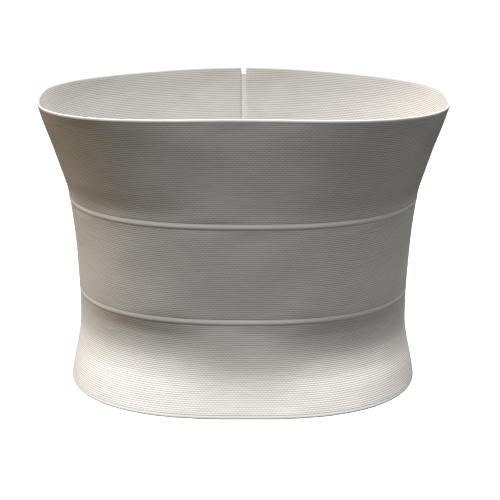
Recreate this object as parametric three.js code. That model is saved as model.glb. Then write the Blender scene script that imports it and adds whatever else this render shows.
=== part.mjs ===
import * as THREE from 'three';

// Elastic abdominal binder in the form it takes when worn: three ribbed elastic panels, one above
// the other, joined by raised welts, with a soft rolled edge above and below. The band wraps the
// waist, flares out over the ribs and over the hips, and closes at the centre of the back.
//
// Millimetres, +Z up. The origin is the middle of the hollow at half the band's height, and the
// front of the body faces -Y.

// Driving sizes
const LOWER_PANEL_HEIGHT = 73;    // bottom edge to the middle of the lower welt
const MIDDLE_PANEL_HEIGHT = 74.6; // welt to welt
const UPPER_PANEL_HEIGHT = 81;    // middle of the upper welt to the top edge
const WAIST_HALF_WIDTH = 129.5;   // origin to the body's side at the waist
const WAIST_FRONT = 100;          // origin to the front of the body at the waist
const WAIST_BACK = 82;            // origin to the small of the back
const HIP_SWELL = 12;             // how far the hip bones push out between front and side
const SIDE_DIP = 5.5;             // how far the top edge dips at the sides, drawn down by the flare
const PANEL_WALL = 1.8;           // thickness of the elastic
const PANEL_CROWN = 0.15;         // the panels are this much thinner at their seams, each side
const WELT_HEIGHT = 4.8;
const WELT_RISE = 0.5;            // how far a welt stands out of the panels
const EDGE_HEIGHT = 2.4;          // the rolled top and bottom edges
const EDGE_THICKNESS = 2.4;
const SEAM_GAP = 0.3;             // clearance between neighbouring pieces
const BACK_PARTING = 3;           // between the band's two ends, under the closure
const CLOSURE_WIDTH = 84;
const CLOSURE_WALL = 1.8;
const CLOSURE_INSET = 6;          // from the band's top and bottom to the closure's ends
const CLOSURE_CORNER = 12;        // corner radius of the closure

// How finely the band is divided
const STEPS_ROUND = 60;
const CLOSURE_STEPS = 20;
const CLOSURE_ROWS = 16;
const ROUND_SEGMENTS = 5;         // half the sides of a welt's or an edge's round section

const LOWER_SEAM = LOWER_PANEL_HEIGHT;
const UPPER_SEAM = LOWER_SEAM + MIDDLE_PANEL_HEIGHT;
const BAND_HEIGHT = UPPER_SEAM + UPPER_PANEL_HEIGHT;
const BACK_FULLNESS = 2.4;        // squareness of the back half of every section
const BACK_SWELL = 0.5;           // share of the swell that the back takes

// The body's sections, from the band's bottom edge (height 0) to its top edge (height 1).
// halfWidth, front and back are shares of the three waist sizes above, setBack (how far the widest
// line lies behind the origin) is a share of WAIST_FRONT, swell a share of HIP_SWELL and dip a share
// of SIDE_DIP. fullness is the squareness of the section's front half, where 2 is an ellipse.
const COLUMNS = ['height', 'halfWidth', 'front', 'back', 'setBack', 'fullness', 'swell', 'dip'];
const ROWS = [
  [0.00, 1.039, 1.101, 1.12, 0.010, 2.28, 0.34, -0.22],
  [0.07, 1.018, 1.045, 1.09, 0.034, 2.21, 0.33, -0.16],
  [0.13, 0.997, 1.013, 1.06, 0.062, 2.25, 0.09, -0.12],
  [0.19, 0.985, 1.002, 1.04, 0.097, 2.38, -0.17, -0.08],
  [0.26, 0.986, 1.002, 1.02, 0.130, 2.46, -0.19, -0.05],
  [0.33, 0.987, 1.010, 1.00, 0.150, 2.47, 0.03, -0.02],
  [0.50, 1.006, 1.049, 1.00, 0.161, 2.49, 0.01, 0.00],
  [0.67, 1.042, 1.089, 1.03, 0.152, 2.51, 0.00, 0.12],
  [0.75, 1.077, 1.111, 1.06, 0.129, 2.58, 0.00, 0.25],
  [0.84, 1.122, 1.139, 1.09, 0.101, 2.62, 0.02, 0.46],
  [0.92, 1.165, 1.165, 1.11, 0.072, 2.66, 0.03, 0.71],
  [1.00, 1.200, 1.187, 1.12, 0.044, 2.77, 0.04, 1.00],
];
const SECTIONS = ROWS.map((row) => Object.fromEntries(COLUMNS.map((name, i) => [name, row[i]])));

// Slope of one column at a row, taken between the rows beside it
function rowSlope(column, row) {
  const before = SECTIONS[Math.max(row - 1, 0)];
  const after = SECTIONS[Math.min(row + 1, SECTIONS.length - 1)];
  return (after[column] - before[column]) / (after.height - before.height);
}

// One column of the table at any height, on a smooth curve through the rows
function sectionValue(column, height) {
  let row = 0;
  while (row < SECTIONS.length - 2 && height > SECTIONS[row + 1].height) row += 1;
  const low = SECTIONS[row];
  const high = SECTIONS[row + 1];
  const span = high.height - low.height;
  const t = (height - low.height) / span;
  const startPull = rowSlope(column, row) * span;
  const endPull = rowSlope(column, row + 1) * span;
  const rise = high[column] - low[column];
  return low[column] + t * (startPull + t * (3 * rise - 2 * startPull - endPull
    + t * (startPull + endPull - 2 * rise)));
}

// A point of the body's surface. angle runs anticlockwise from +X, level is mm above the bottom edge
// at the front.
function bodyPoint(angle, level) {
  const height = level / BAND_HEIGHT;
  const setBack = sectionValue('setBack', height) * WAIST_FRONT;
  const isFront = Math.sin(angle) < 0;
  const depth = isFront
    ? sectionValue('front', height) * WAIST_FRONT + setBack
    : sectionValue('back', height) * WAIST_BACK - setBack;
  const halfWidth = sectionValue('halfWidth', height) * WAIST_HALF_WIDTH;
  const power = isFront ? sectionValue('fullness', height) : BACK_FULLNESS;
  const across = Math.abs(Math.cos(angle) / halfWidth) ** power;
  const along = Math.abs(Math.sin(angle) / depth) ** power;
  const swell = sectionValue('swell', height) * HIP_SWELL * (isFront ? 1 : BACK_SWELL);
  const radius = (across + along) ** (-1 / power) + swell * Math.sin(2 * angle) ** 2;
  const dip = sectionValue('dip', height) * SIDE_DIP * Math.cos(angle) ** 2;
  return new THREE.Vector3(radius * Math.cos(angle), radius * Math.sin(angle) + setBack, level - dip);
}

// A point held a given distance off the body's surface, along the surface's own normal
function bandPoint(angle, level, offset) {
  const turn = 0.002;
  const lift = 0.2;
  const round = bodyPoint(angle + turn, level).sub(bodyPoint(angle - turn, level));
  const up = bodyPoint(angle, level + lift).sub(bodyPoint(angle, level - lift));
  const outward = round.cross(up).normalize();
  return bodyPoint(angle, level).addScaledVector(outward, offset);
}

// The angle off the centre of the back at which the body's surface is halfGap from the middle plane
function backAngle(halfGap, level) {
  const height = level / BAND_HEIGHT;
  const reach = sectionValue('back', height) * WAIST_BACK - sectionValue('setBack', height) * WAIST_FRONT;
  return Math.atan2(halfGap, reach);
}

// Extrudes a section (x off the body, y up the band) and bends each vertex round the body.
// place(share, level) gives the vertex's angle and level for its share of the way along.
function bendRound(section, steps, place) {
  const geometry = new THREE.ExtrudeGeometry(section, {
    depth: 1,
    steps,
    bevelEnabled: false,
    curveSegments: ROUND_SEGMENTS,
  });
  const position = geometry.getAttribute('position');
  for (let i = 0; i < position.count; i += 1) {
    const spot = place(position.getZ(i), position.getY(i));
    const point = bandPoint(spot.angle, spot.level, position.getX(i));
    position.setXYZ(i, point.x, point.y, point.z);
  }
  geometry.computeVertexNormals();
  return geometry;
}

// Clockwise seen from above, from one side of a gap at the centre of the back to its other side
function roundFromBack(gap) {
  return (share, level) => {
    const start = backAngle(gap / 2, level);
    return { angle: Math.PI / 2 - start - share * (2 * Math.PI - 2 * start), level };
  };
}

// A flat strip's section: a thin wall, crowned by PANEL_CROWN between its two ends
function stripSection(bottom, top, inner, outer, rows) {
  const crown = (share) => PANEL_CROWN * (1 - Math.sin(Math.PI * share));
  const points = [];
  for (let row = 0; row <= rows; row += 1) {
    const share = row / rows;
    points.push(new THREE.Vector2(outer - crown(share), bottom + share * (top - bottom)));
  }
  for (let row = rows; row >= 0; row -= 1) {
    const share = row / rows;
    points.push(new THREE.Vector2(inner + crown(share), bottom + share * (top - bottom)));
  }
  return new THREE.Shape(points);
}

// A round cord's section: an ellipse centred off the body at a level
function roundSection(offset, level, thickness, height) {
  const section = new THREE.Shape();
  section.absellipse(offset, level, thickness / 2, height / 2, 0, 2 * Math.PI);
  return section;
}

// A panel fills the band between the trims below and above it
function panel(bottomTrim, topTrim, rows) {
  const bottom = bottomTrim + SEAM_GAP;
  const top = topTrim - SEAM_GAP;
  return bendRound(stripSection(bottom, top, 0, PANEL_WALL, rows), STEPS_ROUND, roundFromBack(BACK_PARTING));
}

// A welt runs round the body between the closure's two sides
function welt(level) {
  const thickness = PANEL_WALL + WELT_RISE;
  const section = roundSection(thickness / 2, level, thickness, WELT_HEIGHT);
  return bendRound(section, STEPS_ROUND, roundFromBack(CLOSURE_WIDTH + 2 * SEAM_GAP));
}

function edge(level) {
  const section = roundSection(PANEL_WALL / 2, level, EDGE_THICKNESS, EDGE_HEIGHT);
  return bendRound(section, STEPS_ROUND, roundFromBack(BACK_PARTING));
}

// The closure lies on the outside of the panels' ends, with round corners
function closure() {
  const bottom = CLOSURE_INSET;
  const top = BAND_HEIGHT - CLOSURE_INSET;
  const inner = PANEL_WALL + SEAM_GAP;
  const section = stripSection(bottom, top, inner, inner + CLOSURE_WALL, CLOSURE_ROWS);
  const middle = (bottom + top) / 2;
  const place = (share, level) => {
    const across = -Math.cos(Math.PI * share) * CLOSURE_WIDTH / 2;
    const fromCornerCentre = Math.max(0, Math.abs(across) - (CLOSURE_WIDTH / 2 - CLOSURE_CORNER));
    const cut = CLOSURE_CORNER - Math.sqrt(Math.max(0, CLOSURE_CORNER ** 2 - fromCornerCentre ** 2));
    const squeezed = middle + (level - middle) * (1 - cut / (middle - bottom));
    return { angle: Math.PI / 2 - Math.sign(across) * backAngle(Math.abs(across), squeezed), level: squeezed };
  };
  return bendRound(section, CLOSURE_STEPS, place);
}

const elastic = new THREE.MeshStandardMaterial({ color: 0xe9e4dc, roughness: 0.92, metalness: 0 });
const knitEdge = new THREE.MeshStandardMaterial({ color: 0xf3efe8, roughness: 0.85, metalness: 0 });
const hookAndLoop = new THREE.MeshStandardMaterial({ color: 0xefeae2, roughness: 0.95, metalness: 0 });

const halfWelt = WELT_HEIGHT / 2;

const pieces = [
  ['lower_panel', panel(EDGE_HEIGHT, LOWER_SEAM - halfWelt, 8), elastic],
  ['lower_welt', welt(LOWER_SEAM), knitEdge],
  ['middle_panel', panel(LOWER_SEAM + halfWelt, UPPER_SEAM - halfWelt, 5), elastic],
  ['upper_welt', welt(UPPER_SEAM), knitEdge],
  ['upper_panel', panel(UPPER_SEAM + halfWelt, BAND_HEIGHT - EDGE_HEIGHT, 6), elastic],
  ['bottom_edge', edge(EDGE_HEIGHT / 2), knitEdge],
  ['top_edge', edge(BAND_HEIGHT - EDGE_HEIGHT / 2), knitEdge],
  ['back_closure', closure(), hookAndLoop],
];

const binder = new THREE.Group();
for (const [name, geometry, material] of pieces) {
  const mesh = new THREE.Mesh(geometry, material);
  mesh.name = name;
  mesh.position.z = -BAND_HEIGHT / 2;
  binder.add(mesh);
}

export default binder;
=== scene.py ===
"""Elastic abdominal binder in its worn form: ribbed elastic panels, raised welts, rolled edges and a
plain closure at the centre of the back. Metres, +Z up, the front of the body faces -Y."""

import math

import bpy
import numpy as np
from mathutils import Matrix, Vector


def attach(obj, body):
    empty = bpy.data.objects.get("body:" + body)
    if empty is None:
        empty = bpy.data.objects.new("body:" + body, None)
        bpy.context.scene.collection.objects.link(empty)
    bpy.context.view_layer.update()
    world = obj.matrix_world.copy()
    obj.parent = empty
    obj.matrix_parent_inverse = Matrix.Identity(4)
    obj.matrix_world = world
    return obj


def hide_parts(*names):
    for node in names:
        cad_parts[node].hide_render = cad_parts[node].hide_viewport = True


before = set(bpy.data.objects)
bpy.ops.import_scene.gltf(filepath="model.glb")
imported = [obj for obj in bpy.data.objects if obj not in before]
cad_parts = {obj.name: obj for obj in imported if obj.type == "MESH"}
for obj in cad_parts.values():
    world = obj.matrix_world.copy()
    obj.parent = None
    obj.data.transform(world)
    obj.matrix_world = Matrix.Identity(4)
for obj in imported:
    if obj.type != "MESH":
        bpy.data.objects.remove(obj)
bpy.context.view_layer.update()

MM = 0.001
TAU = 2 * math.pi

# Sizes of the band, as in the solids
LOWER_PANEL_HEIGHT = 73 * MM
MIDDLE_PANEL_HEIGHT = 74.6 * MM
UPPER_PANEL_HEIGHT = 81 * MM
LOWER_SEAM = LOWER_PANEL_HEIGHT
UPPER_SEAM = LOWER_SEAM + MIDDLE_PANEL_HEIGHT
BAND_HEIGHT = UPPER_SEAM + UPPER_PANEL_HEIGHT
WAIST_HALF_WIDTH = 129.5 * MM
WAIST_FRONT = 100 * MM
WAIST_BACK = 82 * MM
HIP_SWELL = 12 * MM
SIDE_DIP = 5.5 * MM
PANEL_WALL = 1.8 * MM
WELT_HEIGHT = 4.8 * MM
EDGE_HEIGHT = 2.4 * MM
SEAM_GAP = 0.3 * MM
BACK_PARTING = 3 * MM
CLOSURE_WIDTH = 84 * MM
CLOSURE_WALL = 1.8 * MM
CLOSURE_INSET = 6 * MM
CLOSURE_CORNER = 12 * MM
BACK_FULLNESS = 2.4         # the squareness of the back half
BACK_SWELL = 0.5            # the hip swell at the back, as a share of the front's

# Trims and soft forms, finer than in the solids
WELT_CREST = 0.22 * MM      # how far a welt's crest stands off the panels' faces
EDGE_CREST = 0.06 * MM      # the same for the rolled top edge
SEAM_SINK = 0.06 * MM       # how far each seam draws the cloth in
SINK_REACH = 1.2 * MM       # how far up the panel above that is felt
INNER_SINK = 0.4            # how much of it the panel's inner face has
SEAM_LAP = 0.5 * MM         # how far a welt or an edge lies over its panels
CONTACT_LIFT = 0.01 * MM    # how far a welt's lower end lies above the panel below
END_TAPER = 1.5 * MM        # the length over which a welt or an edge thins at its two ends
PANEL_WAVE = 0.16 * MM      # the height of a panel's slow waves
WAVE_START = 6 * MM         # the distance from a seam at which they have their full height
CLOSURE_WAVE = 0.12 * MM
CLOSURE_ROUNDING = 1.1 * MM  # the width of the closure's rounded rim
CLOSURE_RIM = 0.3           # its thickness at the very rim, as a share of its wall
CLOSURE_LIFT = 0.05 * MM    # how much wider the gap beneath it is than SEAM_GAP
GROOVE_DEPTH = 0.35 * MM
GROOVE_HALF_WIDTH = 0.7 * MM
STITCH_INSET = 4 * MM
STITCH_LENGTH = 2.8 * MM
STITCH_PITCH = 3.8 * MM
STITCH_THICKNESS = 0.55 * MM
STITCH_SINK = 0.28 * MM     # how far a stitch's core lies below the closure's face
STITCH_SAG = 0.25 * MM      # how much deeper its two ends dive
STITCH_TIP = 0.06           # the square of the share of its girth that its two ends keep

# Weave and mesh steps
RIB_PITCH = 1.5 * MM
RIB_RELIEF = 0.02 * MM      # a rib's crest above the middle of its wall
FLOAT_PITCH = 3.2 * MM      # from one float to the next along a rib
KNIT_PITCH = 1.1 * MM
MEAN_GIRTH = 0.79           # what the weave's coordinates count as once round the band
ROWS_PER_RIB = 4
PANEL_STEPS = 240
CORD_STEPS = 420
CORD_SIDES = 18             # points across each face of a welt or an edge
CLOSURE_COLUMNS = 101
CLOSURE_ROWS = 241
STITCH_SIDES = 8
STITCH_SLICES = 6

# The body's sections, bottom edge to top edge: height share, then half width, front and back as
# shares of the waist sizes, set-back as a share of WAIST_FRONT, the squareness of the front half,
# and the shares of the hip swell and of the side dip
SECTIONS = np.array([
    # height, half_width, front, back, set_back, fullness, swell, dip
    [0.00, 1.039, 1.101, 1.12, 0.010, 2.28, 0.34, -0.22],
    [0.07, 1.018, 1.045, 1.09, 0.034, 2.21, 0.33, -0.16],
    [0.13, 0.997, 1.013, 1.06, 0.062, 2.25, 0.09, -0.12],
    [0.19, 0.985, 1.002, 1.04, 0.097, 2.38, -0.17, -0.08],
    [0.26, 0.986, 1.002, 1.02, 0.130, 2.46, -0.19, -0.05],
    [0.33, 0.987, 1.010, 1.00, 0.150, 2.47, 0.03, -0.02],
    [0.50, 1.006, 1.049, 1.00, 0.161, 2.49, 0.01, 0.00],
    [0.67, 1.042, 1.089, 1.03, 0.152, 2.51, 0.00, 0.12],
    [0.75, 1.077, 1.111, 1.06, 0.129, 2.58, 0.00, 0.25],
    [0.84, 1.122, 1.139, 1.09, 0.101, 2.62, 0.02, 0.46],
    [0.92, 1.165, 1.165, 1.11, 0.072, 2.66, 0.03, 0.71],
    [1.00, 1.200, 1.187, 1.12, 0.044, 2.77, 0.04, 1.00],
])
COLUMNS = ["half_width", "front", "back", "set_back", "fullness", "swell", "dip"]


def section_values(height):
    """Every column of the table at an array of heights, on a smooth curve through the rows."""
    rows = SECTIONS[:, 0]
    values = SECTIONS[:, 1:]
    before = np.maximum(np.arange(len(rows)) - 1, 0)
    after = np.minimum(np.arange(len(rows)) + 1, len(rows) - 1)
    slopes = (values[after] - values[before]) / (rows[after] - rows[before])[:, None]
    low = np.clip(np.searchsorted(rows, height, side="left") - 1, 0, len(rows) - 2)
    span = (rows[low + 1] - rows[low])[..., None]
    t = (np.asarray(height) - rows[low])[..., None] / span
    start_pull = slopes[low] * span
    end_pull = slopes[low + 1] * span
    rise = values[low + 1] - values[low]
    curve = values[low] + t * (start_pull + t * (3 * rise - 2 * start_pull - end_pull
                               + t * (start_pull + end_pull - 2 * rise)))
    return {name: curve[..., i] for i, name in enumerate(COLUMNS)}


def body_points(angle, level):
    """Points of the body's surface. angle runs anticlockwise from +X, level is above the bottom edge."""
    s = section_values(level / BAND_HEIGHT)
    set_back = s["set_back"] * WAIST_FRONT
    is_front = np.sin(angle) < 0
    depth = np.where(is_front, s["front"] * WAIST_FRONT + set_back, s["back"] * WAIST_BACK - set_back)
    power = np.where(is_front, s["fullness"], BACK_FULLNESS)
    across = np.abs(np.cos(angle) / (s["half_width"] * WAIST_HALF_WIDTH)) ** power
    along = np.abs(np.sin(angle) / depth) ** power
    swell = s["swell"] * HIP_SWELL * np.where(is_front, 1, BACK_SWELL)
    radius = (across + along) ** (-1 / power) + swell * np.sin(2 * angle) ** 2
    z = level - BAND_HEIGHT / 2 - s["dip"] * SIDE_DIP * np.cos(angle) ** 2
    return np.stack([radius * np.cos(angle), radius * np.sin(angle) + set_back, z], axis=-1)


def band_points(angle, level, offset):
    """Points held off the body's surface along its own normal."""
    turn = 0.002
    lift = 0.2 * MM
    round_it = body_points(angle + turn, level) - body_points(angle - turn, level)
    up = body_points(angle, level + lift) - body_points(angle, level - lift)
    outward = np.cross(round_it, up)
    outward /= np.linalg.norm(outward, axis=-1, keepdims=True)
    return body_points(angle, level) + outward * np.asarray(offset)[..., None]


def back_angle(half_gap, level):
    """The angle off the centre of the back at which the surface is half_gap from the middle plane."""
    s = section_values(level / BAND_HEIGHT)
    return np.arctan2(half_gap, s["back"] * WAIST_BACK - s["set_back"] * WAIST_FRONT)


def angles_round(share, level, gap):
    """Clockwise from one side of a gap at the centre of the back to its other side."""
    start = back_angle(gap / 2, level)
    return math.pi / 2 - start - share * (TAU - 2 * start)


def soft_waves(across, up):
    """Slow uneven waves of the stretched cloth, about 1 at their highest."""
    return (np.sin(across * 61 + 1.3 * np.sin(up * 47)) * np.sin(up * 83 + 2.1)
            + 0.6 * np.sin(across * 113 + up * 71 + 0.7)) / 1.6


def make_mesh(name, verts, faces, uvs=None, flat_faces=0):
    """A mesh object from an array of vertices and a list of faces. uvs holds one (across, up) coordinate
    in metres a vertex. The last flat_faces faces are flat, and every other is smooth."""
    mesh = bpy.data.meshes.new(name)
    mesh.from_pydata(verts.tolist(), [], faces)
    if uvs is not None:
        layer = mesh.uv_layers.new(name="weave")
        loops = np.empty(len(mesh.loops), dtype=np.int32)
        mesh.loops.foreach_get("vertex_index", loops)
        layer.uv.foreach_set("vector", uvs[loops].astype(np.float32).ravel())
    mesh.polygons.foreach_set("use_smooth", np.arange(len(faces)) < len(faces) - flat_faces)
    mesh.update()
    piece = bpy.data.objects.new(name, mesh)
    bpy.context.scene.collection.objects.link(piece)
    return piece


def grid_quads(index, flip=False):
    """Quads over a grid of vertex numbers."""
    a, b, c, d = index[:-1, :-1], index[1:, :-1], index[1:, 1:], index[:-1, 1:]
    quads = np.stack([a, d, c, b] if flip else [a, b, c, d], axis=-1)
    return quads.reshape(-1, 4)


def shell(name, outer, inner, uv):
    """A closed wall between an outer and an inner grid of points."""
    rows, columns = outer.shape[:2]
    count = rows * columns
    top = np.arange(count).reshape(rows, columns)
    under = top + count
    ring = np.concatenate([top[:, 0], top[-1, 1:], top[-2::-1, -1], top[0, -2:0:-1]])
    following = np.roll(ring, -1)
    rim = np.stack([ring, following, following + count, ring + count], axis=-1)
    faces = np.concatenate([grid_quads(top, flip=True), grid_quads(under), rim])
    verts = np.concatenate([outer.reshape(-1, 3), inner.reshape(-1, 3)])
    flat_uv = uv.reshape(-1, 2)
    return make_mesh(name, verts, faces.tolist(), np.concatenate([flat_uv, flat_uv]), flat_faces=len(rim))


def panel(name, bottom_trim, top_trim):
    """One elastic panel between the levels of two trims, with each rib raised on both faces."""
    bottom = bottom_trim + SEAM_GAP / 2
    top = top_trim - SEAM_GAP / 2
    ribs = round((top - bottom) / RIB_PITCH)
    rows = ribs * ROWS_PER_RIB
    share_up = np.linspace(0, 1, rows + 1)
    share_round = np.linspace(0, 1, PANEL_STEPS + 1)
    up, across = np.meshgrid(bottom + share_up * (top - bottom), share_round, indexing="ij")
    angle = angles_round(across, up, BACK_PARTING)
    run = across * MEAN_GIRTH
    rib = -np.cos(TAU * share_up * ribs)[:, None]
    ends = np.minimum(share_up, 1 - share_up)[:, None] * (top - bottom)
    thin = SEAM_SINK * np.exp(-share_up[:, None] * (top - bottom) / SINK_REACH)
    wave = PANEL_WAVE * soft_waves(run, up) * np.clip(ends / WAVE_START, 0, 1)
    outer = band_points(angle, up, PANEL_WALL - RIB_RELIEF + RIB_RELIEF * rib - thin + wave)
    inner = band_points(angle, up, RIB_RELIEF - RIB_RELIEF * rib + INNER_SINK * thin + wave)
    uv = np.stack([run, (up - bottom) * ribs * RIB_PITCH / (top - bottom)], axis=-1)
    return shell(name, outer, inner, uv)


def soft_ridge(share):
    """A welt's outer face across its height, share -1 to 1. Its crest lies a little below the middle,
    its upper end lies under the panel above and its lower end on the panel below."""
    crest_at = -0.3
    reach = np.where(share > crest_at, 1 - crest_at, 1 + crest_at)
    swell = 0.5 + 0.5 * np.cos(math.pi * (share - crest_at) / reach)
    end = PANEL_WALL + np.where(share > crest_at, -2 * SEAM_SINK, CONTACT_LIFT)
    return end + (PANEL_WALL + WELT_CREST - end) * swell


def rolled_top(share):
    """The top edge's outer face: rounded over above and nearly flush with its panel below."""
    crest_at = -0.4
    over = np.clip((share - crest_at) / (1 - crest_at), 0, 1)
    under = np.clip((crest_at - share) / (1 + crest_at), 0, 1)
    middle = PANEL_WALL / 2
    drop = EDGE_CREST * (0.5 - 0.5 * np.cos(math.pi * under))
    return middle + (middle + EDGE_CREST) * np.sqrt(1 - over ** 2) - drop


def rolled_bottom(share):
    """The bottom edge's outer face: rounded under below, lying under the panel's end above."""
    middle = PANEL_WALL / 2
    return middle + (middle - 2 * SEAM_SINK) * np.sqrt(1 - np.clip(-share, 0, 1) ** 2)


def cord(name, level, height, gap, face):
    """A welt or a rolled edge round the body, with a gap at the back. level is its middle, and face gives
    its outer side across its height. Its inner side is the outer one's mirror image."""
    middle = PANEL_WALL / 2
    least = 0.02 * MM
    share = np.linspace(0, 1, CORD_STEPS + 1)
    rise = np.sin(np.linspace(-math.pi / 2, math.pi / 2, CORD_SIDES))
    outer = np.maximum(face(rise), middle + least)
    inner = PANEL_WALL - outer
    section = np.concatenate([np.stack([outer, rise], axis=-1),
                              np.stack([inner, rise], axis=-1)[::-1]])
    along, around = np.meshgrid(share, np.arange(len(section)), indexing="ij")
    run = along * MEAN_GIRTH
    end = np.minimum(along, 1 - along) * MEAN_GIRTH
    taper = np.sqrt(np.clip(1 - (1 - np.clip(end / END_TAPER, 0, 1)) ** 2, 0.02, 1))
    uneven = 1 + 0.03 * np.sin(run * 140 + 0.8 * np.sin(run * 37)) + 0.02 * np.sin(run * 311)
    offset = middle + (section[around, 0] - middle) * taper
    up = level + section[around, 1] * height / 2 * taper * uneven
    points = band_points(angles_round(along, np.full_like(along, level), gap), up, offset)
    rows, sides = points.shape[:2]
    index = np.arange(rows * sides).reshape(rows, sides)
    closed = np.concatenate([index, index[:, :1]], axis=1)
    faces = grid_quads(closed).tolist()
    uv = np.stack([run, up - level], axis=-1).reshape(-1, 2)
    end_centres = points[[0, -1]].mean(axis=1)
    verts = np.concatenate([points.reshape(-1, 3), end_centres])
    uv = np.concatenate([uv, uv[[0, -1]]])
    start = rows * sides
    finish = start + 1
    first = closed[0].tolist()
    last = closed[-1].tolist()
    faces += [[start, first[i], first[i + 1]] for i in range(sides)]
    faces += [[finish, last[i + 1], last[i]] for i in range(sides)]
    return make_mesh(name, verts, faces, uv)


def closure_place(across, up_share):
    """Angle and level on the closure: across runs between its sides, up_share from 0 to 1."""
    half = CLOSURE_WIDTH / 2
    bottom = CLOSURE_INSET
    top = BAND_HEIGHT - CLOSURE_INSET
    past = np.maximum(0, np.abs(across) - (half - CLOSURE_CORNER))
    cut = CLOSURE_CORNER - np.sqrt(np.maximum(0, CLOSURE_CORNER ** 2 - past ** 2))
    middle = (bottom + top) / 2
    level = middle + (up_share - 0.5) * ((top - bottom) - 2 * cut)
    angle = math.pi / 2 + np.sign(across) * back_angle(np.abs(across), level)
    return angle, level


def edge_distance(across, level):
    """Distance from the closure's rounded outline, positive inside."""
    half_w = CLOSURE_WIDTH / 2 - CLOSURE_CORNER
    half_h = (BAND_HEIGHT - 2 * CLOSURE_INSET) / 2 - CLOSURE_CORNER
    dx = np.abs(across) - half_w
    dy = np.abs(level - BAND_HEIGHT / 2) - half_h
    outside = np.hypot(np.maximum(dx, 0), np.maximum(dy, 0))
    inside = np.minimum(np.maximum(dx, dy), 0)
    return CLOSURE_CORNER - (outside + inside)


def closure(name):
    """The strip over the band's two ends, with a rounded rim and a groove along its stitching."""
    half = CLOSURE_WIDTH / 2
    columns = -np.cos(np.linspace(0, math.pi, CLOSURE_COLUMNS)) * half
    rows = 0.5 - 0.5 * np.cos(np.linspace(0, math.pi, CLOSURE_ROWS))
    up, across = np.meshgrid(rows, columns, indexing="ij")
    angle, level = closure_place(across, up)
    deep = edge_distance(across, level)
    rim = np.sqrt(np.clip(1 - (1 - np.clip(deep / CLOSURE_ROUNDING, 0, 1)) ** 2, 0, 1))
    groove = GROOVE_DEPTH * np.exp(-((deep - STITCH_INSET) / GROOVE_HALF_WIDTH) ** 2)
    pad = CLOSURE_WAVE * soft_waves(across * 2, level)
    underside = PANEL_WALL + SEAM_GAP
    thickness = CLOSURE_WALL * (CLOSURE_RIM + (1 - CLOSURE_RIM) * rim)
    outer = band_points(angle, level, underside + thickness - groove + pad * rim)
    inner = band_points(angle, level, np.full_like(angle, underside + CLOSURE_LIFT))
    return shell(name, outer[:, ::-1], inner[:, ::-1], np.stack([across, level], axis=-1)[:, ::-1])


def stitch_runs():
    """The stitch line's straights up, its straights across, and the radius of its corners."""
    radius = CLOSURE_CORNER - STITCH_INSET
    straight_h = 2 * (BAND_HEIGHT / 2 - CLOSURE_INSET - STITCH_INSET - radius)
    straight_w = 2 * (CLOSURE_WIDTH / 2 - STITCH_INSET - radius)
    return straight_h, straight_w, radius


def outline_spot(distance):
    """A point along the closure's stitch line, by distance from the lower end of its right side."""
    straight_h, straight_w, radius = stitch_runs()
    arc = math.pi / 2 * radius
    x = CLOSURE_WIDTH / 2 - STITCH_INSET
    y = -straight_h / 2
    heading = math.pi / 2
    for run in [straight_h, arc, straight_w, arc] * 2:
        part = min(distance, run)
        if run is arc:
            bend = part / radius
            x += radius * (math.sin(heading + bend) - math.sin(heading))
            y += -radius * (math.cos(heading + bend) - math.cos(heading))
            heading += bend
        else:
            x += part * math.cos(heading)
            y += part * math.sin(heading)
        distance -= part
        if distance <= 0:
            break
    return x, y + BAND_HEIGHT / 2


def one_stitch(start, end):
    """Rings of points round a short thread from start to end, both (across, level). Each point holds
    across, level and its distance off the body's surface."""
    run = end - start
    sideways = np.array([-run[1], run[0]]) / np.linalg.norm(run)
    share = -np.cos(np.linspace(0, math.pi, STITCH_SLICES + 1))[:, None]
    turn = np.linspace(0, TAU, STITCH_SIDES, endpoint=False)
    girth = STITCH_THICKNESS / 2 * np.sqrt(np.maximum(STITCH_TIP, 1 - share ** 2))
    centre = (start + end) / 2 + share * run / 2
    place = centre[:, None] + (girth * np.cos(turn))[..., None] * sideways
    core = PANEL_WALL + SEAM_GAP + CLOSURE_WALL - STITCH_SINK - STITCH_SAG * share ** 2
    return np.concatenate([place, (core + girth * np.sin(turn))[..., None]], axis=-1)


def stitches(name):
    """The closure's sewing: short threads along a line inside its rim."""
    straight_h, straight_w, radius = stitch_runs()
    total = 2 * (straight_h + straight_w) + TAU * radius
    count = round(total / STITCH_PITCH)
    threads = []
    faces = []
    for k in range(count):
        middle = (k + 0.5) / count * total
        start, end = [np.array(outline_spot((middle + side * STITCH_LENGTH / 2) % total))
                      for side in (-1, 1)]
        thread = one_stitch(start, end)
        slices, sides = thread.shape[:2]
        ring = k * slices * sides + np.arange(slices * sides).reshape(slices, sides)
        closed = np.concatenate([ring, ring[:, :1]], axis=1)
        faces += grid_quads(closed, flip=True).tolist()
        faces.append(ring[0, ::-1].tolist())
        faces.append(ring[-1].tolist())
        threads.append(thread.reshape(-1, 3))
    across, level, offset = np.concatenate(threads).T
    angle = math.pi / 2 + np.sign(across) * back_angle(np.abs(across), level)
    return make_mesh(name, band_points(angle, level, offset), faces)


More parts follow.
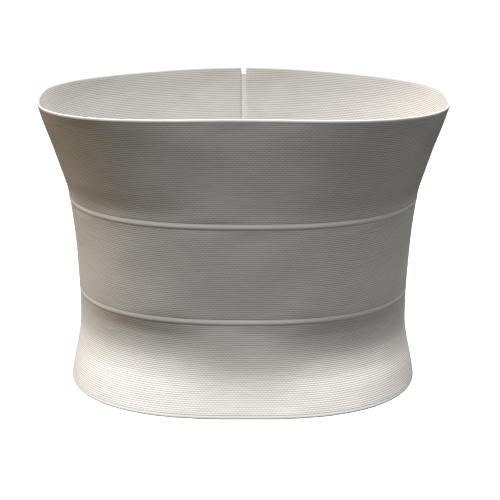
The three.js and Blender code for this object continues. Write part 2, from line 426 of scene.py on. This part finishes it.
# Materials
class Nodes:
    """Short calls for a material's node tree."""

    def __init__(self, name):
        self.material = bpy.data.materials.new(name)
        self.material.use_nodes = True
        self.tree = self.material.node_tree
        self.shader = self.tree.nodes["Principled BSDF"]

    def add(self, kind, **settings):
        node = self.tree.nodes.new(kind)
        for key, value in settings.items():
            setattr(node, key, value)
        return node

    def join(self, source, target):
        self.tree.links.new(source, target)

    def math(self, operation, a, b=None, c=None):
        node = self.add("ShaderNodeMath", operation=operation)
        for i, value in enumerate((a, b, c)):
            if value is None:
                continue
            if isinstance(value, (int, float)):
                node.inputs[i].default_value = value
            else:
                self.join(value, node.inputs[i])
        return node.outputs[0]

    def weave_axes(self):
        """The weave's coordinate, then its parts across and up, in metres."""
        uv = self.add("ShaderNodeUVMap", uv_map="weave")
        split = self.add("ShaderNodeSeparateXYZ")
        self.join(uv.outputs["UV"], split.inputs[0])
        return uv.outputs["UV"], split.outputs[0], split.outputs[1]

    def wave(self, axis, pitch, shift):
        """A sine along one axis, from -1 to 1."""
        phase = self.math("ADD", self.math("MULTIPLY", axis, TAU / pitch), shift)
        return self.math("SINE", phase)

    def between(self, share, low, high):
        """From low where share is 0 to high where it is 1."""
        return self.math("MULTIPLY_ADD", share, high - low, low)

    def noise(self, vector, detail, scale=1.0, stretch=None):
        """Noise about 0.5. scale or stretch counts its swells to a metre, stretch on each axis."""
        if stretch is not None:
            mapping = self.add("ShaderNodeMapping")
            mapping.inputs["Scale"].default_value = stretch
            self.join(vector, mapping.inputs["Vector"])
            vector = mapping.outputs["Vector"]
        node = self.add("ShaderNodeTexNoise")
        node.inputs["Scale"].default_value = scale
        node.inputs["Detail"].default_value = detail
        self.join(vector, node.inputs["Vector"])
        return node.outputs["Fac"]

    def mix(self, factor, low, high):
        node = self.add("ShaderNodeMix", data_type="RGBA")
        self.join(factor, node.inputs["Factor"])
        for key, value in (("A", low), ("B", high)):
            socket = [s for s in node.inputs if s.name == key and s.type == "RGBA"][0]
            if isinstance(value, tuple):
                socket.default_value = (*value, 1)
            else:
                self.join(value, socket)
        return [s for s in node.outputs if s.type == "RGBA"][0]

    def bump(self, height, distance, strength):
        node = self.add("ShaderNodeBump")
        node.inputs["Strength"].default_value = strength
        node.inputs["Distance"].default_value = distance
        self.join(height, node.inputs["Height"])
        return node.outputs["Normal"]


# Tones, a darker and a lighter one for each cloth, then the painted shade laid into the elastic's weave
ELASTIC_TONES = (0.90, 0.885, 0.855), (0.95, 0.935, 0.905)
KNIT_TONES = (0.66, 0.645, 0.62), (0.74, 0.725, 0.70)
LOOP_TONES = (0.66, 0.645, 0.62), (0.75, 0.73, 0.705)
THREAD_TONES = (0.76, 0.75, 0.72), (0.9, 0.89, 0.87)
FUZZ_TONE = (0.88, 0.865, 0.84)
PILE_TONE = (0.85, 0.835, 0.815)
FLOOR_TONE = (0.8, 0.8, 0.8)
# painted shade: the dark colour that the elastic takes in its rib valleys and between its floats
PAINTED_WEAVE_SHADE = (0.35, 0.335, 0.31)
PAINTED_VALLEY_SHADE = 0.87         # how much of that painted shade the valleys between ribs have
PAINTED_SHADE_STREAKING = 0.7          # how much that painted shade in the valleys changes from streak to streak
PAINTED_FLOAT_GAP_SHADE = 0.34          # how much of that painted shade lies in the gaps between two floats
FLOAT_DRIFT = 6.0           # how far noise shifts the floats along their ribs, in radians
FUZZ_SHARE = 0.2            # how much of the fuzz's tone the elastic takes
PILE_SHARE = 0.35           # how much of the pile's tone the loop cloth takes
KNIT_SLANT = 1400.0         # how the knit's loops shift with height, in radians a metre


def elastic_material():
    """Warm white ribbed elastic: every rib is crossed by short floats, staggered from rib to rib. Shade is
    painted into its colour in the valleys between ribs and in the gaps between floats.
    """
    n = Nodes("ribbed_elastic")
    uv, across, up = n.weave_axes()
    rib_count = n.math("DIVIDE", up, RIB_PITCH)
    valley = n.math("MULTIPLY_ADD", n.math("COSINE", n.math("MULTIPLY", rib_count, TAU)), 0.5, 0.5)
    stagger = n.math("MULTIPLY", n.math("FLOOR", rib_count), math.pi)
    drift = n.math("MULTIPLY", n.noise(uv, detail=2.0, stretch=(60, 60, 1)), FLOAT_DRIFT)
    float_wave = n.wave(across, FLOAT_PITCH, n.math("ADD", stagger, drift))
    gap = n.math("MULTIPLY_ADD", float_wave, -0.5, 0.5)
    crest = n.math("SUBTRACT", 1.0, valley)
    blotch = n.noise(uv, detail=4.0, stretch=(38, 60, 1))
    streak = n.noise(uv, detail=1.0, stretch=(60, 1000, 1))
    grain = n.noise(uv, detail=2.0, stretch=(420, 1500, 1))
    tone = n.mix(blotch, *ELASTIC_TONES)
    # painted shade in the rib valleys, deeper in some streaks than in others
    depth = n.math("MULTIPLY_ADD", n.math("SUBTRACT", streak, 0.5), PAINTED_SHADE_STREAKING, PAINTED_VALLEY_SHADE)
    tone = n.mix(n.math("MULTIPLY", valley, depth), tone, PAINTED_WEAVE_SHADE)
    # painted shade in the gaps between floats, where the bump sinks
    tone = n.mix(n.math("MULTIPLY", n.math("MULTIPLY", gap, crest), PAINTED_FLOAT_GAP_SHADE), tone, PAINTED_WEAVE_SHADE)
    tone = n.mix(n.math("MULTIPLY", grain, FUZZ_SHARE), tone, FUZZ_TONE)
    n.join(tone, n.shader.inputs["Base Color"])
    height = n.math("MULTIPLY", crest, n.between(gap, 1.0, 0.3))
    n.join(n.bump(height, distance=0.03 * MM, strength=0.5), n.shader.inputs["Normal"])
    n.join(n.between(grain, 0.84, 0.96), n.shader.inputs["Roughness"])
    n.shader.inputs["Specular IOR Level"].default_value = 0.1
    return n.material


def knit_material():
    """The welts and rolled edges: a smooth close knit, as light as the panels seen from afar."""
    n = Nodes("smooth_knit")
    uv, across, up = n.weave_axes()
    loop = n.wave(across, KNIT_PITCH, n.math("MULTIPLY", up, KNIT_SLANT))
    grain = n.noise(uv, detail=3.0, stretch=(700, 900, 1))
    n.join(n.mix(grain, *KNIT_TONES), n.shader.inputs["Base Color"])
    height = n.math("ADD", n.math("MULTIPLY", loop, 0.4), grain)
    n.join(n.bump(height, distance=0.05 * MM, strength=0.3), n.shader.inputs["Normal"])
    n.join(n.between(grain, 0.76, 0.88), n.shader.inputs["Roughness"])
    n.shader.inputs["Specular IOR Level"].default_value = 0.1
    return n.material


def loop_cloth_material():
    """The closure: brushed loop cloth, a soft pile with a faint cross grain."""
    n = Nodes("brushed_loop_cloth")
    uv = n.weave_axes()[0]
    pile = n.noise(uv, detail=5.0, stretch=(1300, 1300, 1))
    clump = n.noise(uv, detail=3.0, stretch=(260, 340, 1))
    tone = n.mix(n.math("MULTIPLY", pile, PILE_SHARE), n.mix(clump, *LOOP_TONES), PILE_TONE)
    n.join(tone, n.shader.inputs["Base Color"])
    height = n.math("ADD", pile, n.math("MULTIPLY", clump, 0.8))
    n.join(n.bump(height, distance=0.25 * MM, strength=0.9), n.shader.inputs["Normal"])
    n.join(n.between(pile, 0.88, 0.98), n.shader.inputs["Roughness"])
    n.shader.inputs["Sheen Weight"].default_value = 0.2
    n.shader.inputs["Sheen Roughness"].default_value = 0.6
    n.shader.inputs["Specular IOR Level"].default_value = 0.2
    return n.material


def thread_material():
    """White sewing thread, with its twist."""
    n = Nodes("sewing_thread")
    place = n.add("ShaderNodeTexCoord").outputs["Object"]
    twist = n.noise(place, detail=2.0, scale=2600.0)
    n.join(n.mix(twist, *THREAD_TONES), n.shader.inputs["Base Color"])
    n.join(n.bump(twist, distance=0.05 * MM, strength=0.6), n.shader.inputs["Normal"])
    n.shader.inputs["Roughness"].default_value = 0.6
    return n.material


def matt_material(name, colour):
    """One matt colour, for the floor alone."""
    n = Nodes(name)
    n.shader.inputs["Base Color"].default_value = (*colour, 1)
    n.shader.inputs["Roughness"].default_value = 1.0
    n.shader.inputs["Specular IOR Level"].default_value = 0.0
    return n.material


# The pieces
elastic = elastic_material()
knit = knit_material()
loop_cloth = loop_cloth_material()
thread = thread_material()

half_welt = WELT_HEIGHT / 2
lower_panel = panel("lower_elastic", EDGE_HEIGHT, LOWER_SEAM - half_welt)
middle_panel = panel("middle_elastic", LOWER_SEAM + half_welt, UPPER_SEAM - half_welt)
upper_panel = panel("upper_elastic", UPPER_SEAM + half_welt, BAND_HEIGHT - EDGE_HEIGHT)
welt_reach = WELT_HEIGHT + 2 * SEAM_LAP
edge_reach = EDGE_HEIGHT + SEAM_LAP
lower_welt = cord("lower_welt_knit", LOWER_SEAM, welt_reach, BACK_PARTING, soft_ridge)
upper_welt = cord("upper_welt_knit", UPPER_SEAM, welt_reach, BACK_PARTING, soft_ridge)
bottom_edge = cord("bottom_edge_knit", edge_reach / 2, edge_reach, BACK_PARTING, rolled_bottom)
top_edge = cord("top_edge_knit", BAND_HEIGHT - edge_reach / 2, edge_reach, BACK_PARTING, rolled_top)
back_closure = closure("back_closure_cloth")
closure_stitches = stitches("closure_stitches")

for piece, material, node, slot in (
    (lower_panel, elastic, "lower_panel", "elastic"),
    (middle_panel, elastic, "middle_panel", "elastic"),
    (upper_panel, elastic, "upper_panel", "elastic"),
    (lower_welt, knit, "lower_welt", "knit_edge"),
    (upper_welt, knit, "upper_welt", "knit_edge"),
    (bottom_edge, knit, "bottom_edge", "knit_edge"),
    (top_edge, knit, "top_edge", "knit_edge"),
    (back_closure, loop_cloth, "back_closure", "hook_and_loop"),
):
    piece.data.materials.append(material)
    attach(piece, "root")
    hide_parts(node)
closure_stitches.data.materials.append(thread)
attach(closure_stitches, "root")

# Floor
FLOOR_LEVEL = -1.0
STAGE_REACH = 14.0


def stage_plane(name, centre, size, material):
    mesh = bpy.data.meshes.new(name)
    x, y, z = centre
    half = size / 2
    mesh.from_pydata([(x - half, y - half, z), (x + half, y - half, z), (x + half, y + half, z),
                      (x - half, y + half, z)], [], [[0, 1, 2, 3]])
    mesh.materials.append(material)
    plane = bpy.data.objects.new(name, mesh)
    bpy.context.scene.collection.objects.link(plane)
    return plane


floor = stage_plane("floor", (0, 0, FLOOR_LEVEL), 2 * STAGE_REACH,
                    matt_material("pale_floor", FLOOR_TONE))
floor.visible_diffuse = False
floor.visible_glossy = False

# World: white to the camera, and a faint warm light to the band
WARM_COLOUR = (1.0, 0.55, 0.25)
WARM_STRENGTH = 0.012
world = bpy.data.worlds.new("studio")
bpy.context.scene.world = world
world.use_nodes = True
tree = world.node_tree
background = tree.nodes["Background"]
background.inputs["Color"].default_value = (*WARM_COLOUR, 1)
background.inputs["Strength"].default_value = WARM_STRENGTH
backdrop = tree.nodes.new("ShaderNodeBackground")
backdrop.inputs["Strength"].default_value = 1.0
backdrop.inputs["Color"].default_value = (1, 1, 1, 1)
rays = tree.nodes.new("ShaderNodeLightPath")
choose = tree.nodes.new("ShaderNodeMixShader")
tree.links.new(rays.outputs["Is Camera Ray"], choose.inputs[0])
tree.links.new(background.outputs[0], choose.inputs[1])
tree.links.new(backdrop.outputs[0], choose.inputs[2])
tree.links.new(choose.outputs[0], tree.nodes["World Output"].inputs["Surface"])

# Lights: far and soft, with no shadows
LIGHT_SPREAD = math.radians(30)
LIGHTS = [
    # name, direction from the band to the light, strength, colour
    ("overhead_left", (-0.35, -0.17, 0.92), 3.7, (0.985, 1.0, 0.985)),
    ("overhead", (-0.10, -0.10, 0.99), 2.65, (1.0, 0.93, 0.94)),
    ("right_fill", (0.55, -0.45, 0.70), 1.24, (0.975, 1.0, 0.985)),
    ("warm_bounce", (-0.95, 0.25, -0.20), 0.7, (1.0, 0.74, 0.42)),
    ("back_fill", (0.38, 0.75, 0.54), 1.35, (1.0, 0.985, 0.965)),
]
for name, towards, strength, colour in LIGHTS:
    data = bpy.data.lights.new(name, "SUN")
    data.use_shadow = False
    data.energy = strength
    data.angle = LIGHT_SPREAD
    data.color = colour
    lamp = bpy.data.objects.new(name, data)
    lamp.rotation_euler = Vector(towards).to_track_quat("Z", "Y").to_euler()
    bpy.context.scene.collection.objects.link(lamp)

# Camera, at the photograph's angle
CAMERA_DISTANCE = 1.2304    # in front of the band's axis
CAMERA_HEIGHT = 0.3446      # above the middle of the band
CAMERA_TILT = math.radians(16.32)
CAMERA_ROLL = math.radians(0.233)
FRAME_PIXELS = 500
FOCAL_PIXELS = 1625.5
AXIS_PIXELS_LEFT = 7.1      # the band's axis lies this far left of the picture's middle
camera_data = bpy.data.cameras.new("camera")
camera_data.lens = FOCAL_PIXELS / FRAME_PIXELS * camera_data.sensor_width
camera_data.clip_end = 100
camera = bpy.data.objects.new("camera", camera_data)
pan = -AXIS_PIXELS_LEFT / FOCAL_PIXELS
camera.matrix_world = (
    Matrix.Translation((0, -CAMERA_DISTANCE, CAMERA_HEIGHT))
    @ Matrix.Rotation(pan, 4, "Z")
    @ Matrix.Rotation(math.pi / 2 - CAMERA_TILT, 4, "X")
    @ Matrix.Rotation(CAMERA_ROLL, 4, "Z")
)
bpy.context.scene.collection.objects.link(camera)
bpy.context.scene.camera = camera
bpy.context.scene.view_settings.view_transform = "Standard"
bpy.context.scene.cycles.diffuse_bounces = 1
